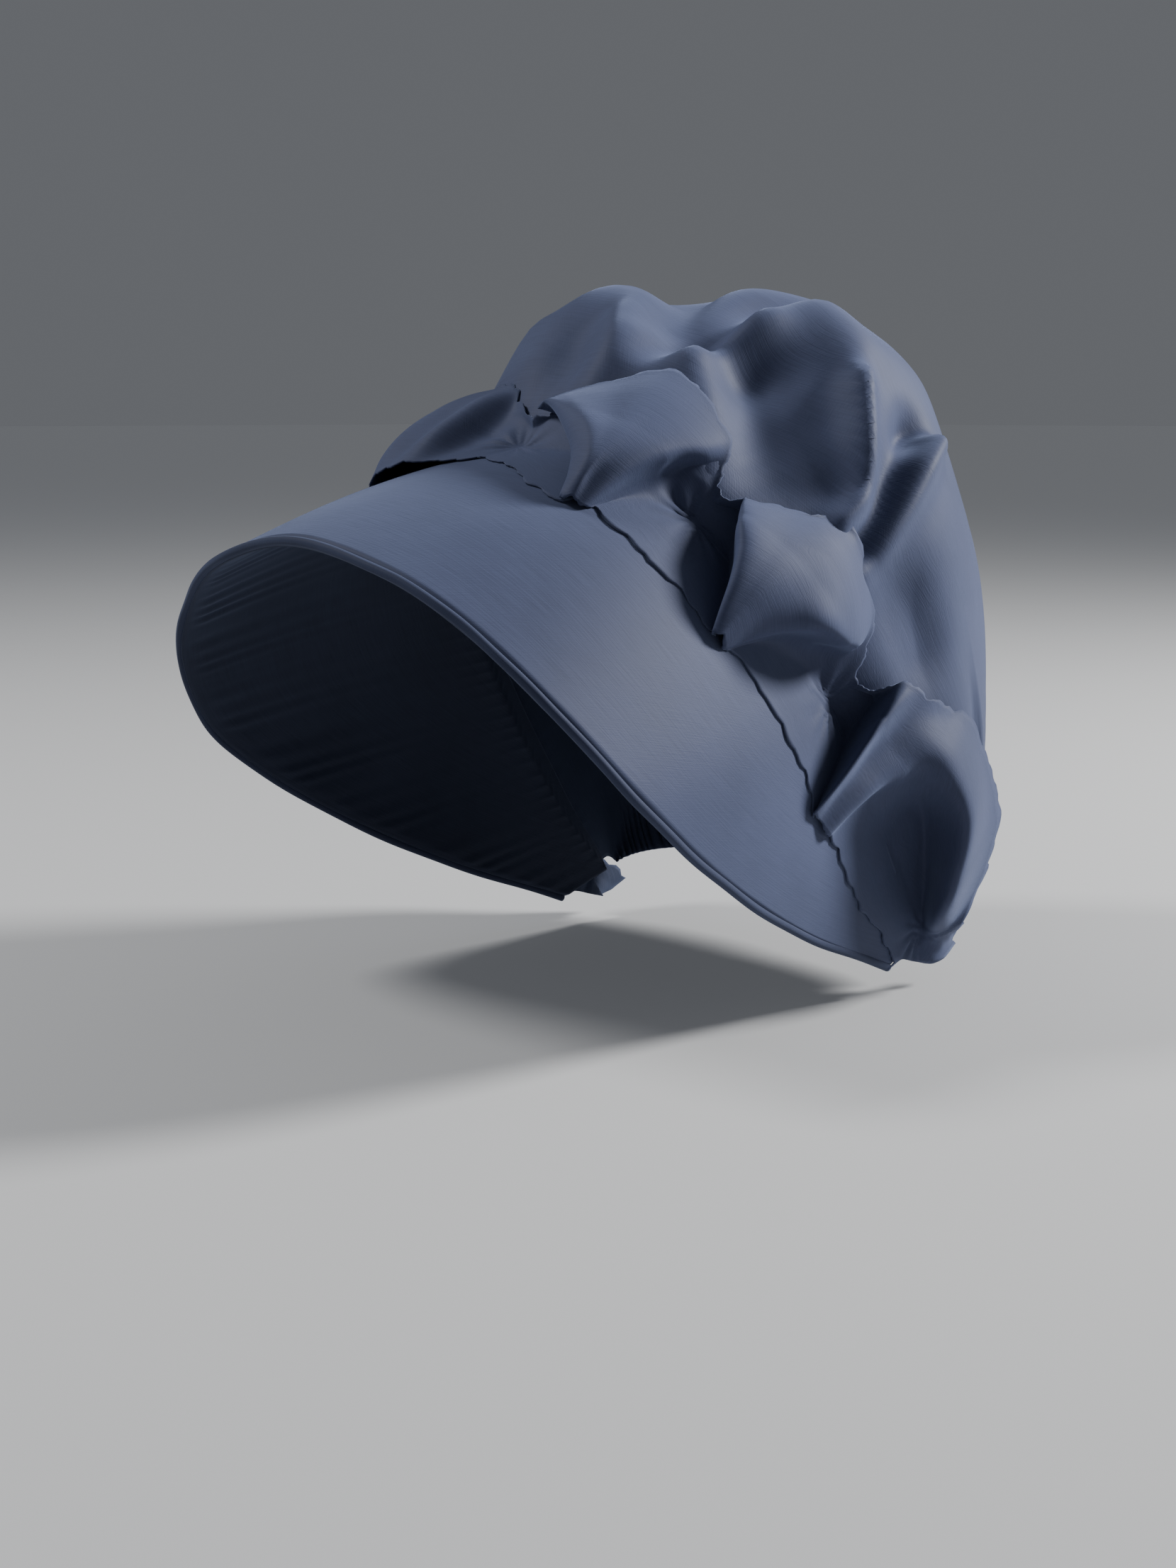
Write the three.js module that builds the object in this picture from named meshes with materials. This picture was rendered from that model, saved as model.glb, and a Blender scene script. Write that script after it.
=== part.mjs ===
// A silk poke bonnet: stiffened brim with lining and wired edge, soft crown, ruched band over the seam.
// Millimetres, +Z up. The brim's opening faces -Y and +X is the wearer's left.
// The origin is the place inside the crown where the top of the head carries the bonnet.
import * as THREE from 'three';

// Cloth and clearances
const BRIM_WALL = 2.4;
const LINING_WALL = 1.0;
const CROWN_WALL = 1.4;
const BAND_WALL = 1.2;
const EDGE_ROLL_DIAMETER = 3.4;
const GAP = 0.3;

// Brim: straight rules from the front edge to the crown seam, from the crest down to the near corner.
const BRIM_RULES = [
  { front: [0, -150, -20], seam: [0, -46, 8] },
  { front: [47, -147, -29], seam: [36, -41, 3] },
  { front: [78, -138.5, -46], seam: [66, -26, -15] },
  { front: [103, -125, -71], seam: [84, -6, -45] },
  { front: [117.5, -99, -103], seam: [92, 18, -80] },
  { front: [112, -56, -134], seam: [95, 40, -115] },
  { front: [100, 2, -164], seam: [93, 62, -150] },
  { front: [91, 62, -187], seam: [88, 84, -178] },
];
const BRIM_BOW = 3;
const BOW_FADE = 2.2;

// Crown: a soft bag over an ellipsoid, from the seam back to the neck edge.
const CROWN_CENTRE = new THREE.Vector3(0, 60, -58);
const CROWN_RADII = { x: 110, y: 112, z: 130 };
const NECK_EDGE = { halfWidth: 88, cornerY: 91, cornerZ: -176, backY: 122, backZ: -166, roundness: 0.8 };
const SEAM_STEP = 1.5;
const CROWN_END = 0.985;
const EASE_SPAN = 0.14;
const EASE_POWER = 1.6;
const RIB_PULL = 1.6;
const CORNER_DRAW = 0.6;
const FOLD_GAIN = 1.15;
// Directions in which the ribs of the crown bulge, by share of the way from crest to corner.
const RIB_DIRECTIONS = [
  { share: 0, x: 0, y: 0.95, z: 0.62 },
  { share: 0.3, x: 0.5, y: 0.85, z: 0.55 },
  { share: 0.55, x: 0.95, y: 0.45, z: 0.35 },
  { share: 0.8, x: 0.95, y: 0.45, z: -0.35 },
  { share: 1, x: 0.7, y: 0.22, z: -0.95 },
];
// Puffs and folds: a line on the crown, how wide the fold is and how far it stands out or sinks in.
const CROWN_FOLDS = [
  { name: 'front puff', from: [-28, -24, 38], to: [-28, -8, 50], width: 36, rise: 15 },
  { name: 'crest ridge', from: [-5, 0, 52], to: [-15, 30, 70], width: 9, rise: 5 },
  { name: 'crest valley', from: [38, -4, 40], to: [40, 57, 66], width: 11, rise: -8 },
  { name: 'hollow front ridge', from: [38, 9, 49], to: [64, -11, 8], width: 8, rise: 4 },
  { name: 'side hollow', from: [70, 5, 19], to: [72, 40, 25], width: 26, rise: -8 },
  { name: 'hollow top ridge', from: [40, 75, 62], to: [76, 61, 36], width: 12, rise: 7 },
  { name: 'hollow back ridge', from: [76, 61, 36], to: [98, 35, -5], width: 8, rise: 6 },
  { name: 'side valley', from: [80, 90, 33], to: [103, 45, -15], width: 12, rise: -6 },
  { name: 'side ridge', from: [85, 100, 14], to: [107, 31, -33], width: 9, rise: 6 },
  { name: 'back panel', from: [110, 50, -59], to: [110, 60, -70], width: 24, rise: -4 },
  { name: 'back shoulder', from: [84, 125, -15], to: [92, 110, -50], width: 40, rise: -6 },
];

// Ruched band: tacked to the seam at these shares of the way from crest (0) to corner (1).
const TACKS = [-0.985, -0.583, -0.298, 0.004, 0.298, 0.583, 0.985];
const BAND_END = 1.04;
const TAIL_DROP = 11;
// Between each two tacks the band stands up as a closed pillow or an open cup. One puff lifts its
// front edge.
const PUFFS = [
  { form: 'cup', frontLift: 0 },
  { form: 'pillow', frontLift: 0 },
  { form: 'pillow', frontLift: 12 },
  { form: 'pillow', frontLift: 0 },
  { form: 'pillow', frontLift: 0 },
  { form: 'cup', frontLift: 0 },
];
const CUP_RIDGE_SCALE = 1.6;
// Each puff is counted from 0 at the tack nearer the crest to 1 at the outer one. Its crease and the
// place where it has settled lie at these counts, and each line meets them at its own share of the way.
const CREASE = 0.34;
const SETTLED = 0.76;
const SETTLE_EASE = 0.1;
const RIDGE_SPREAD = 0.13;
// A lifted front edge comes down again over these counts, and the lift fades over the lines behind it.
const LIFT_FALL = { from: 0.6, span: 0.35, lines: 3 };
// Lines along the band from its front edge to its rear edge. Each pair is mm towards the front and mm up:
// at a tack, at the corner tack, at the tail, in a pillow and in a cup. Then the share of the way at the
// crease and where the puff has settled, the counts at which it starts to rise and to fall, and the
// height of the ridge on it.
const BAND_LINES = [
  { tack: [35, 2.5], corner: [20, 2.9], tail: [17, 2.9], pillow: [38, 5], cup: [38, 5],
    crease: 0.41, settled: 0.54, start: 0.2, hold: 0.38, ridge: 0 },
  { tack: [23, 2.5], corner: [13, 2.9], tail: [11, 2.9], pillow: [28, 9], cup: [27, 5],
    crease: 0.37, settled: 0.64, start: 0.14, hold: 0.4, ridge: 4 },
  { tack: [12, 2.5], corner: [7, 2.9], tail: [6, 2.9], pillow: [18, 15], cup: [15, 7],
    crease: 0.31, settled: 0.78, start: 0.08, hold: 0.44, ridge: 7 },
  { tack: [3, 2.7], corner: [2, 3.2], tail: [2, 3.2], pillow: [6, 20], cup: [3, 9],
    crease: 0.24, settled: 0.91, start: 0.02, hold: 0.48, ridge: 8 },
  { tack: [-2, 5], corner: [0, 9], tail: [0, 7], pillow: [-9, 16], cup: [-6, 14],
    crease: 0.18, settled: 0.95, start: 0, hold: 0.52, ridge: 5 },
  { tack: [-5, 8], corner: [-1, 17], tail: [-1, 12], pillow: [-23, 9], cup: [-16, 20],
    crease: 0.14, settled: 0.96, start: 0, hold: 0.56, ridge: 2 },
  { tack: [-8, 11], corner: [-1, 24], tail: [-1, 17], pillow: [-35, 6], cup: [-26, 24],
    crease: 0.12, settled: 0.96, start: 0, hold: 0.58, ridge: 0 },
];

// Mesh steps
const BRIM_STEPS = { along: 44, across: 4 };
const CROWN_STEPS = { along: 54, across: 22 };
const BAND_STEPS = { puff: 13, tail: 3, across: 12 };
const ROLL_STEPS = { along: 44, around: 6 };

const v3 = (p) => new THREE.Vector3(p[0], p[1], p[2]);
const clamp01 = (x) => THREE.MathUtils.clamp(x, 0, 1);
const mix = THREE.MathUtils.lerp;
const smooth = (x) => clamp01(x) ** 2 * (3 - 2 * clamp01(x));

// Catmull-Rom value through a row of numbers, at a place counted in steps.
function through(values, place) {
  const last = values.length - 1;
  const i = THREE.MathUtils.clamp(Math.floor(place), 0, last - 1);
  const f = place - i;
  const [b, c] = [values[i], values[i + 1]];
  const a = i > 0 ? values[i - 1] : 2 * b - c;
  const d = i + 2 <= last ? values[i + 2] : 2 * c - b;
  const square = 2 * a - 5 * b + 4 * c - d;
  const cube = 3 * b - a - 3 * c + d;
  return 0.5 * (2 * b + (c - a) * f + square * f ** 2 + cube * f ** 3);
}

// Both halves of a column of the brim's table, the far half mirrored in X.
function bothHalves(column) {
  const near = BRIM_RULES.map((row) => row[column]);
  const far = near.slice(1).reverse().map(([x, y, z]) => [-x, y, z]);
  return [0, 1, 2].map((axis) => [...far, ...near].map((p) => p[axis]));
}
const FRONT_EDGE = bothHalves('front');
const SEAM = bothHalves('seam');
const HALF_STEPS = BRIM_RULES.length - 1;

// A point on the front edge or seam; t is -1 at the far corner, 0 at the crest and 1 at the near corner.
function onCurve(curve, t) {
  return v3(curve.map((values) => through(values, (t + 1) * HALF_STEPS)));
}

// Two places on either side of t, a small step apart, for taking directions along a curve.
const SMALL_STEP = 0.001;
function besides(t) {
  return [Math.max(t - SMALL_STEP, -1), Math.min(t + SMALL_STEP, 1)];
}

// Frame on the seam: along towards the near corner, forward on the brim, and up off its surface.
function seamFrame(t) {
  const at = THREE.MathUtils.clamp(t, -1, 1);
  const [before, after] = besides(at);
  const seam = onCurve(SEAM, at);
  const front = onCurve(FRONT_EDGE, at);
  const along = onCurve(SEAM, after).sub(onCurve(SEAM, before)).normalize();
  const rule = front.clone().sub(seam);
  const forward = rule.clone().addScaledVector(along, -rule.dot(along)).normalize();
  const up = forward.clone().cross(along).normalize();
  return { seam, front, along, forward, up, width: rule.length() };
}

// Middle of the brim's thickness; s is 0 at the front edge and 1 at the seam.
function brimPoint(t, s) {
  const front = onCurve(FRONT_EDGE, t);
  const seam = onCurve(SEAM, t);
  const [before, after] = besides(t);
  const along = onCurve(FRONT_EDGE, after).lerp(onCurve(SEAM, after), s)
    .sub(onCurve(FRONT_EDGE, before).lerp(onCurve(SEAM, before), s));
  const outward = along.cross(seam.clone().sub(front)).normalize();
  const bow = BRIM_BOW * Math.sin(Math.PI * s) * Math.min(1, BOW_FADE * (1 - Math.abs(t)));
  return { point: front.lerp(seam, s).addScaledVector(outward, bow), outward };
}

// The crown's neck edge, from corner to corner round the back.
function neckEdge(t) {
  const back = Math.cos(Math.PI / 2 * Math.abs(t)) ** NECK_EDGE.roundness;
  return new THREE.Vector3(
    Math.sin(Math.PI / 2 * t) * NECK_EDGE.halfWidth,
    mix(NECK_EDGE.cornerY, NECK_EDGE.backY, back),
    mix(NECK_EDGE.cornerZ, NECK_EDGE.backZ, back),
  );
}

function ribDirection(t) {
  const share = Math.abs(t);
  const last = RIB_DIRECTIONS.length - 2;
  const i = Math.min(RIB_DIRECTIONS.findLastIndex((row) => row.share <= share), last);
  const [a, b] = [RIB_DIRECTIONS[i], RIB_DIRECTIONS[i + 1]];
  const f = (share - a.share) / (b.share - a.share);
  return new THREE.Vector3(mix(a.x, b.x, f) * Math.sign(t), mix(a.y, b.y, f), mix(a.z, b.z, f));
}

function foldRise(point) {
  let rise = 0;
  for (const fold of CROWN_FOLDS) {
    const nearest = new THREE.Line3(v3(fold.from), v3(fold.to))
      .closestPointToPoint(point, true, new THREE.Vector3());
    rise += fold.rise * Math.exp(-((point.distanceTo(nearest) / fold.width) ** 2));
  }
  return rise;
}

// Middle of the crown's thickness; s is 0 at the seam and 1 at the neck edge.
function crownPoint(t, s) {
  const { seam, forward } = seamFrame(t);
  const start = seam.addScaledVector(forward, -SEAM_STEP).sub(CROWN_CENTRE);
  const end = neckEdge(t).sub(CROWN_CENTRE);
  const direction = start.clone().normalize().multiplyScalar((1 - s) ** 2)
    .addScaledVector(ribDirection(t), 2 * s * (1 - s) * RIB_PULL)
    .addScaledVector(end.clone().normalize(), s ** 2)
    .normalize();
  const { x, y, z } = CROWN_RADII;
  const full = 1 / Math.hypot(direction.x / x, direction.y / y, direction.z / z);
  const atSeam = Math.exp(-((s / EASE_SPAN) ** EASE_POWER));
  const atNeck = Math.exp(-(((1 - s) / EASE_SPAN) ** EASE_POWER));
  const free = 1 - atSeam - atNeck;
  const taut = mix(start.length(), end.length(), s);
  const drawnIn = mix(full, taut, smooth((Math.abs(t) - CORNER_DRAW) / (1 - CORNER_DRAW)));
  const radius = drawnIn * free + start.length() * atSeam + end.length() * atNeck;
  const base = CROWN_CENTRE.clone().addScaledVector(direction, radius);
  return base.addScaledVector(direction, foldRise(base) * clamp01(free * FOLD_GAIN));
}

// Height of the crown above the brim's plane at a place behind the seam.
const CROWN_REACH = 0.42;
const CROWN_PROBES = 22;
function crownProfile(t, frame) {
  const at = THREE.MathUtils.clamp(t, -1, 1);
  const profile = [];
  let furthest = 0;
  for (let k = 0; k < CROWN_PROBES; k += 1) {
    const reach = crownPoint(at, CROWN_REACH * k / (CROWN_PROBES - 1)).sub(frame.seam);
    furthest = Math.min(furthest, reach.dot(frame.forward));
    profile.push({ forward: furthest, up: reach.dot(frame.up) });
  }
  return profile;
}
function crownHeight(profile, forward) {
  const k = profile.findIndex((row, i) => i > 0 && forward >= row.forward);
  if (k < 0) return profile[profile.length - 1].up;
  const [a, b] = [profile[k - 1], profile[k]];
  const run = a.forward - b.forward;
  return run > 0 ? mix(a.up, b.up, clamp01((a.forward - forward) / run)) : b.up;
}

// Share of the way across a puff at a count, for a place between the band's lines.
function shareAtCount(count, crease, settled) {
  if (count < CREASE) return crease * count / CREASE;
  if (count < SETTLED) return mix(crease, settled, (count - CREASE) / (SETTLED - CREASE));
  return mix(settled, 1, (count - SETTLED) / (1 - SETTLED));
}

// Where one line of the band lies in a puff: mm forward and mm up.
function lineInPuff(line, lineIndex, puff, count) {
  const outerTack = puff.form === 'cup' ? line.corner : line.tack;
  const up = smooth((count - line.start) / (CREASE - line.start));
  const down = smooth((count - line.hold) / (SETTLED + SETTLE_EASE - line.hold));
  const share = shareAtCount(count, line.crease, line.settled);
  const low = [0, 1].map((i) => mix(line.tack[i], outerTack[i], smooth(share)));
  const place = [0, 1].map((i) => mix(low[i], line[puff.form][i], up * (1 - down)));
  const ridgeScale = puff.form === 'cup' ? CUP_RIDGE_SCALE : 1;
  const ridge = line.ridge * ridgeScale * Math.exp(-(((count - CREASE) / RIDGE_SPREAD) ** 2));
  const frontShare = Math.max(0, 1 - lineIndex / LIFT_FALL.lines);
  const fallen = smooth((count - LIFT_FALL.from) / LIFT_FALL.span);
  const lift = puff.frontLift * frontShare * smooth(count / CREASE) * (1 - fallen);
  return [place[0], place[1] + ridge + lift];
}

// The point of the band at t on the seam and v across it, for its lines' places there.
function bandPoint(t, v, places) {
  const frame = seamFrame(t);
  const place = v * (BAND_LINES.length - 1);
  const [forward, up] = [0, 1].map((i) => through(places.map((pair) => pair[i]), place));
  const at = THREE.MathUtils.clamp(t, -1, 1);
  const foot = forward > 0
    ? brimPoint(at, 1 - forward / frame.width).point
    : frame.seam.clone().addScaledVector(frame.forward, forward)
      .addScaledVector(frame.up, crownHeight(crownProfile(t, frame), forward));
  const beyond = Math.sign(t) * TAIL_DROP * Math.max(0, Math.abs(t) - 1) / (BAND_END - 1);
  return foot.addScaledVector(frame.up, up).addScaledVector(frame.along, beyond);
}

// Rows of the band's middle surface, from the far tail over the puffs to the near tail.
function bandRows() {
  const columns = Array.from({ length: BAND_STEPS.across + 1 }, (_, j) => j / BAND_STEPS.across);
  const lastTack = TACKS[TACKS.length - 1];
  const tailRows = [];
  for (let i = BAND_STEPS.tail; i > 0; i -= 1) {
    const share = i / BAND_STEPS.tail;
    const eased = smooth(share);
    const places = BAND_LINES
      .map(({ corner, tail }) => corner.map((value, k) => mix(value, tail[k], eased)));
    const t = mix(lastTack, BAND_END, share);
    tailRows.push((side) => columns.map((v) => bandPoint(side * t, v, places)));
  }
  const rows = tailRows.map((row) => row(-1));
  PUFFS.forEach((puff, k) => {
    const isFar = k < PUFFS.length / 2;
    const [inner, outer] = isFar ? [TACKS[k + 1], TACKS[k]] : [TACKS[k], TACKS[k + 1]];
    for (let i = k === 0 ? 0 : 1; i <= BAND_STEPS.puff; i += 1) {
      const step = i / BAND_STEPS.puff;
      const count = isFar ? 1 - step : step;
      const places = BAND_LINES.map((line, n) => lineInPuff(line, n, puff, count));
      rows.push(columns.map((v) => {
        const line = v * (BAND_LINES.length - 1);
        const [crease, settled] = ['crease', 'settled']
          .map((column) => through(BAND_LINES.map((row) => row[column]), line));
        return bandPoint(mix(inner, outer, shareAtCount(count, crease, settled)), v, places);
      }));
    }
  });
  return [...rows, ...tailRows.reverse().map((row) => row(1))];
}

// Grid of points of a sheet; rows run along it and columns across.
function sheetGrid(section, from, to, steps) {
  const rows = [];
  for (let i = 0; i <= steps.along; i += 1) {
    const point = section(mix(from, to, i / steps.along));
    rows.push(Array.from({ length: steps.across + 1 }, (_, j) => point(j / steps.across)));
  }
  return rows;
}

// Offsets a grid along its own normals.
function offsetGrid(rows, distance) {
  const lastRow = rows.length - 1;
  const lastColumn = rows[0].length - 1;
  return rows.map((row, i) => row.map((point, j) => {
    const along = rows[Math.min(i + 1, lastRow)][j].clone().sub(rows[Math.max(i - 1, 0)][j]);
    const across = rows[i][Math.min(j + 1, lastColumn)].clone().sub(rows[i][Math.max(j - 1, 0)]);
    return point.clone().addScaledVector(along.cross(across).normalize(), distance);
  }));
}

// Closes two grids into one thin solid; top is the face that along x across points out of.
function closedSheet(top, bottom) {
  const positions = [];
  const across = top[0].length;
  for (const rows of [top, bottom]) rows.flat().forEach((p) => positions.push(p.x, p.y, p.z));
  const under = top.length * across;
  const index = [];
  const quad = (a, b, c, d) => index.push(a, b, c, a, c, d);
  const at = (i, j) => i * across + j;
  for (let i = 0; i < top.length - 1; i += 1) {
    for (let j = 0; j < across - 1; j += 1) {
      const [a, b, c, d] = [at(i, j), at(i + 1, j), at(i + 1, j + 1), at(i, j + 1)];
      quad(a, b, c, d);
      quad(under + d, under + c, under + b, under + a);
    }
    const [front, back] = [0, across - 1];
    quad(at(i + 1, front), at(i, front), under + at(i, front), under + at(i + 1, front));
    quad(at(i, back), at(i + 1, back), under + at(i + 1, back), under + at(i, back));
  }
  for (let j = 0; j < across - 1; j += 1) {
    const last = top.length - 1;
    quad(at(0, j), at(0, j + 1), under + at(0, j + 1), under + at(0, j));
    quad(at(last, j + 1), at(last, j), under + at(last, j), under + at(last, j + 1));
  }
  const geometry = new THREE.BufferGeometry();
  geometry.setAttribute('position', new THREE.Float32BufferAttribute(positions, 3));
  geometry.setIndex(index);
  geometry.computeVertexNormals();
  return geometry;
}

// A layer of the brim between two distances off its middle and two shares of the way to the seam.
function brimSheet(outer, inner, fromS, toS) {
  const layer = (offset) => sheetGrid((t) => (s) => {
    const { point, outward } = brimPoint(t, mix(fromS, toS, s));
    return point.addScaledVector(outward, offset);
  }, -1, 1, BRIM_STEPS);
  return closedSheet(layer(outer), layer(inner));
}

const silk = (color, roughness) => new THREE.MeshStandardMaterial({ color, roughness, metalness: 0 });
function part(name, geometry, material) {
  const mesh = new THREE.Mesh(geometry, material);
  mesh.name = name;
  return mesh;
}

const SILK_COLOUR = 0x464f66;
const LINING_COLOUR = 0x2c3040;
const SATIN = 0.55;

function makeBrim() {
  return part('brim', brimSheet(BRIM_WALL / 2, -BRIM_WALL / 2, 0, 1), silk(SILK_COLOUR, SATIN));
}

// The lining lies inside the brim, from just behind the wired edge to just before the seam.
const LINING_FRONT = 0.02;
const LINING_BACK = 0.985;
const LINING_SLACK = 0.4;
function makeLining() {
  const outer = -BRIM_WALL / 2 - GAP - LINING_SLACK;
  const sheet = brimSheet(outer, outer - LINING_WALL, LINING_FRONT, LINING_BACK);
  return part('brim_lining', sheet, silk(LINING_COLOUR, SATIN));
}

// The wired roll runs along the front edge, a gap in front of the brim.
const ROLL_SLACK = 0.2;
function makeEdgeRoll() {
  const reach = EDGE_ROLL_DIAMETER / 2 + GAP + ROLL_SLACK;
  const points = [];
  for (let i = 0; i <= ROLL_STEPS.along; i += 1) {
    const t = mix(-1, 1, i / ROLL_STEPS.along);
    const [before, after] = besides(t);
    const edge = onCurve(FRONT_EDGE, t);
    const along = onCurve(FRONT_EDGE, after).sub(onCurve(FRONT_EDGE, before)).normalize();
    const ahead = edge.clone().sub(onCurve(SEAM, t)).projectOnPlane(along).normalize();
    points.push(edge.addScaledVector(ahead, reach));
  }
  const path = new THREE.CatmullRomCurve3(points);
  const section = new THREE.Shape();
  section.absarc(0, 0, EDGE_ROLL_DIAMETER / 2, 0, 2 * Math.PI);
  const geometry = new THREE.ExtrudeGeometry(section, {
    steps: ROLL_STEPS.along, curveSegments: ROLL_STEPS.around / 2, bevelEnabled: false, extrudePath: path,
  });
  return part('brim_edge_roll', geometry, silk(SILK_COLOUR, SATIN));
}

function makeCrown() {
  const middle = sheetGrid((t) => (s) => crownPoint(t, s), -CROWN_END, CROWN_END, CROWN_STEPS);
  const sheet = closedSheet(offsetGrid(middle, CROWN_WALL / 2), offsetGrid(middle, -CROWN_WALL / 2));
  return part('crown', sheet, silk(SILK_COLOUR, SATIN));
}

function makeBand() {
  const middle = bandRows();
  const sheet = closedSheet(offsetGrid(middle, BAND_WALL / 2), offsetGrid(middle, -BAND_WALL / 2));
  return part('ruched_band', sheet, silk(SILK_COLOUR, SATIN));
}

const group = new THREE.Group();
group.add(makeBrim(), makeLining(), makeEdgeRoll(), makeCrown(), makeBand());

export default group;
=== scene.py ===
"""Looks of a silk poke bonnet: stiffened brim, puckered lining, wired edge, soft crown and ruched band."""
import math

import bpy
import numpy as np
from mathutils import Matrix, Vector


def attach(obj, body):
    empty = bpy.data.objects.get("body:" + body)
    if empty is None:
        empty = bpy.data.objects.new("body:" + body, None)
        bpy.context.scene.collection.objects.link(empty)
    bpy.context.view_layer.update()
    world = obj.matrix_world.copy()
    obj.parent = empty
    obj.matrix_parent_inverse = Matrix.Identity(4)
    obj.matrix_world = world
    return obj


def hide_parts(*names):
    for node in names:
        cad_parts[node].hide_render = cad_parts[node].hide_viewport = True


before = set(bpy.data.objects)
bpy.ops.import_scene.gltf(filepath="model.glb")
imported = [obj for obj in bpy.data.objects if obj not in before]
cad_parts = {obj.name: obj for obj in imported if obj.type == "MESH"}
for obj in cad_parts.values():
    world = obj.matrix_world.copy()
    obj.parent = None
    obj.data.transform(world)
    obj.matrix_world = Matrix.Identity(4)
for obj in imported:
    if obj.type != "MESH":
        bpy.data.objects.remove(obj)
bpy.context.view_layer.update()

MM = 0.001

# ---- Sizes, in mm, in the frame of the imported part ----
BRIM_WALL = 2.4
LINING_WALL = 0.7
CROWN_WALL = 0.7
BAND_WALL = 0.55
EDGE_ROLL_DIAMETER = 3.4

# Straight rules of the brim: front edge and seam, from the crest down to the near corner.
BRIM_RULES = (
    ((0, -150, -20), (0, -46, 8)),
    ((47, -147, -29), (36, -41, 3)),
    ((78, -138.5, -46), (66, -26, -15)),
    ((103, -125, -71), (84, -6, -45)),
    ((117.5, -99, -103), (92, 18, -80)),
    ((112, -56, -134), (95, 40, -115)),
    ((100, 2, -164), (93, 62, -150)),
    ((91, 62, -187), (88, 84, -178)),
)
# How far the brim bows out between its edges, and how fast that fades towards the corners.
BRIM_BOW = 3
BOW_FADE = 2.2

# Full shape that the head and hair give the crown, before the folds.
CROWN_CENTRE = np.array((0, 60, -58.0))
CROWN_RADII = np.array((110, 112, 130.0))
# Neck edge: half its width, and how far back and how high it lies at the corners and in the middle.
NECK_HALF_WIDTH = 88
NECK_CORNER = (91, -176)
NECK_BACK = (122, -166)
NECK_ROUNDNESS = 0.8
# How far behind the seam the crown starts, and how far towards the corners its cloth goes.
SEAM_STEP = 1.5
CROWN_END = 0.985
# How the crown eases into the seam and the neck edge, and is drawn in towards the corners.
EASE_SPAN = 0.14
EASE_POWER = 1.6
RIB_PULL = 1.6
CORNER_DRAW = 0.6
FOLD_GAIN = 1.15
FOLD_FALL = 1.5
# Share of the way from crest to corner, and the direction in which the crown's rib bulges there.
RIB_DIRECTIONS = np.array((
    (0, 0, 0.95, 0.62),
    (0.3, 0.5, 0.85, 0.55),
    (0.55, 0.95, 0.45, 0.35),
    (0.8, 0.95, 0.45, -0.35),
    (1, 0.7, 0.22, -0.95),
))
# Folds: points of a line on the crown, the fold's width, how blunt its crest is, and how far it stands
# out or sinks in.
CROWN_FOLDS = (
    ("front lobe", ((-33, -23, 38), (-36, -6, 50), (-26, 10, 60)), 30, 17, 17),
    ("lobe hollow", ((-10, 16, 66), (-11, -4, 54), (-2, -20, 40)), 10, 5, -10),
    ("crest ridge", ((-6, 22, 69), (-1, 11, 64), (13, -3, 51), (18, -14, 41), (16, -25, 30)), 8, 2.5, 10),
    ("saddle", ((17, 14, 60), (4, 34, 68), (-14, 58, 75)), 13, 8, -13),
    ("crest valley", ((28, -2, 43), (31, 11, 51), (32, 26, 56), (28, 50, 65), (32, 72, 70)), 8, 3, -10),
    ("puff top", ((16, -12, 42), (29, -11, 40), (41, -8, 37), (52, -4, 32)), 16, 10, 10),
    ("hollow top ridge", ((40, 4, 42), (42, 20, 50), (43, 40, 57)), 7.5, 2.5, 8),
    ("hollow top", ((50, 66, 60), (66, 66, 50)), 11, 6, 4),
    ("rear lobe", ((34, 78, 66), (52, 74, 60), (60, 76, 54), (60, 104, 38)), 18, 11, 3.5),
    ("hollow front ridge", ((42, 7, 42), (52, -1, 33), (59, -6, 21), (65, -10, 10), (68, -16, -2)), 6, 2, 10),
    ("side hollow", ((58, 16, 34), (71, 19, 21), (82, 20, 3)), 24, 13, -9),
    ("front ridge foot", ((50, 18, 42), (61, 9, 29), (69, 5, 15), (75, 0, 1)), 16, 7, -17),
    ("side hollow top", ((66, 40, 38), (72, 36, 24)), 18, 11, -6),
    ("hollow back ridge",
     ((76, 60, 46), (81, 51, 29), (91, 43, 14), (99, 37, -2), (98, 31, -11), (96, 22, -18)), 5, 1.2, 15),
    ("side valley", ((88, 80, 20), (87, 64, 7), (93, 53, -3), (98, 42, -14), (101, 31, -25)), 8, 4, -12),
    ("side ridge", ((90, 84, 11), (93, 73, 4), (99, 53, -11), (104, 34, -28), (104, 26, -36)), 6, 2, 11),
    ("back panel", ((104, 50, -49), (107, 60, -66)), 17, 10, -8),
    ("back shoulder", ((84, 125, -15), (92, 110, -50)), 40, 20, -6),
    ("far hollow", ((-66, 18, 32), (-84, 26, 4)), 26, 14, -12),
    ("far front ridge", ((-42, 6, 46), (-58, -2, 32), (-70, -8, 6)), 9, 4, 7),
    ("far back ridge", ((-74, 64, 44), (-88, 48, 18), (-98, 34, -14)), 8, 3, 10),
    ("far valley", ((-86, 82, 22), (-98, 56, -12), (-103, 40, -30)), 9, 4, -9),
    ("far side ridge", ((-84, 104, 14), (-99, 70, -20), (-104, 48, -46)), 9, 4, 7),
    ("near back fold", ((30, 148, 34), (42, 160, -14), (52, 146, -84)), 15, 7, 6),
    ("middle back hollow", ((4, 156, 22), (12, 170, -30), (18, 160, -92)), 16, 9, -6),
    ("far back fold", ((-26, 148, 34), (-20, 168, -20), (-26, 158, -92)), 15, 7, 6),
    ("far back hollow", ((-54, 136, 20), (-58, 146, -30), (-62, 134, -90)), 16, 9, -6),
)

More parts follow.
